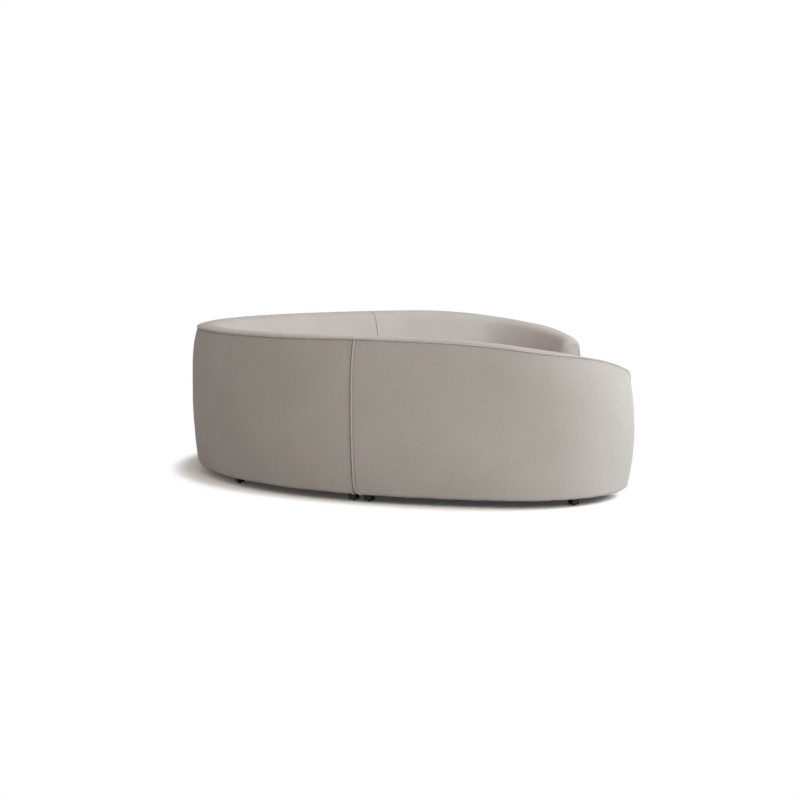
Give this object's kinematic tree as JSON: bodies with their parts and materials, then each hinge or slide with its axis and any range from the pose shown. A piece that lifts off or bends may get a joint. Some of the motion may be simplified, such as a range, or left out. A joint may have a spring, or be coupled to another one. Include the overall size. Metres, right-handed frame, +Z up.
{
  "type": "sectional sofa",
  "caption": "Curved sectional sofa: a padded wraparound back with a rolled top slopes down into curled arms. Separate units stand on small black feet and carry loose seat cushions.",
  "frame": {"origin": "on the floor, at the centre of the sofa's bounding box in plan", "axes": "+X to the sofa's right end as seen from behind its back, +Y to the back, +Z up; the open front faces -Y"},
  "size_m": [3.1142, 2.0345, 0.708],
  "materials": {
    "upholstery_fabric": "matte plain weave, warm greige",
    "deck_cloth": "matte felted pad under a plain cloth",
    "webbing": "matte woven elastic",
    "dust_cloth": "matte black non-woven cloth",
    "plywood": "raw birch plywood",
    "foot_plastic": "matte black",
    "glide_plastic": "smooth black",
    "connector_steel": "zinc-plated"
  },
  "bodies": {
    "middle_unit": {"middle_outer_panel": "upholstery_fabric", "middle_shell_board": "plywood", "middle_top_rail": "plywood", "middle_seat_rail": "plywood", "middle_back_pad": "upholstery_fabric", "middle_top_piping": "upholstery_fabric", "middle_end_panels": "upholstery_fabric", "middle_base_plate": "plywood", "middle_frame_ribs": "plywood", "middle_front_rail": "plywood", "middle_front_panel": "upholstery_fabric", "middle_seat_straps": "webbing", "middle_seat_deck": "deck_cloth", "middle_dust_cover": "dust_cloth", "middle_feet": "foot_plastic", "middle_glides": "glide_plastic", "middle_connector_plates": "connector_steel"},
    "left_arm_unit": {"left_outer_panel": "upholstery_fabric", "left_shell_board": "plywood", "left_top_rail": "plywood", "left_seat_rail": "plywood", "left_back_pad": "upholstery_fabric", "left_top_piping": "upholstery_fabric", "left_end_panel": "upholstery_fabric", "left_arm_end_pad": "upholstery_fabric", "left_base_plate": "plywood", "left_frame_ribs": "plywood", "left_seat_bearers": "plywood", "left_front_rail": "plywood", "left_front_panel": "upholstery_fabric", "left_seat_straps": "webbing", "left_seat_deck": "deck_cloth", "left_dust_cover": "dust_cloth", "left_feet": "foot_plastic", "left_glides": "glide_plastic", "left_connector_pins": "connector_steel"},
    "right_arm_unit": {"right_outer_panel": "upholstery_fabric", "right_shell_board": "plywood", "right_top_rail": "plywood", "right_seat_rail": "plywood", "right_back_pad": "upholstery_fabric", "right_top_piping": "upholstery_fabric", "right_end_panel": "upholstery_fabric", "right_arm_end_pad": "upholstery_fabric", "right_base_plate": "plywood", "right_frame_ribs": "plywood", "right_seat_bearers": "plywood", "right_front_rail": "plywood", "right_front_panel": "upholstery_fabric", "right_seat_straps": "webbing", "right_seat_deck": "deck_cloth", "right_dust_cover": "dust_cloth", "right_feet": "foot_plastic", "right_glides": "glide_plastic", "right_connector_pins": "connector_steel"},
    "middle_left_cushion": {"middle_left_seat_cushion": "upholstery_fabric"},
    "middle_right_cushion": {"middle_right_seat_cushion": "upholstery_fabric"},
    "left_arm_cushion": {"left_seat_cushion": "upholstery_fabric"},
    "right_arm_cushion": {"right_seat_cushion": "upholstery_fabric"}
  },
  "joints": [
    {"name": "left_arm_unit_lift", "type": "slide", "parent": "middle_unit", "child": "left_arm_unit", "axis": [0, 0, 1], "range_m": [0, 0.04]},
    {"name": "right_arm_unit_lift", "type": "slide", "parent": "middle_unit", "child": "right_arm_unit", "axis": [0, 0, 1], "range_m": [0, 0.04]},
    {"name": "middle_left_cushion_lift", "type": "slide", "parent": "middle_unit", "child": "middle_left_cushion", "axis": [0, 0, 1], "range_m": [0, 0.15]},
    {"name": "middle_right_cushion_lift", "type": "slide", "parent": "middle_unit", "child": "middle_right_cushion", "axis": [0, 0, 1], "range_m": [0, 0.15]},
    {"name": "left_arm_cushion_lift", "type": "slide", "parent": "left_arm_unit", "child": "left_arm_cushion", "axis": [0, 0, 1], "range_m": [0, 0.15]},
    {"name": "right_arm_cushion_lift", "type": "slide", "parent": "right_arm_unit", "child": "right_arm_cushion", "axis": [0, 0, 1], "range_m": [0, 0.15]}
  ]
}
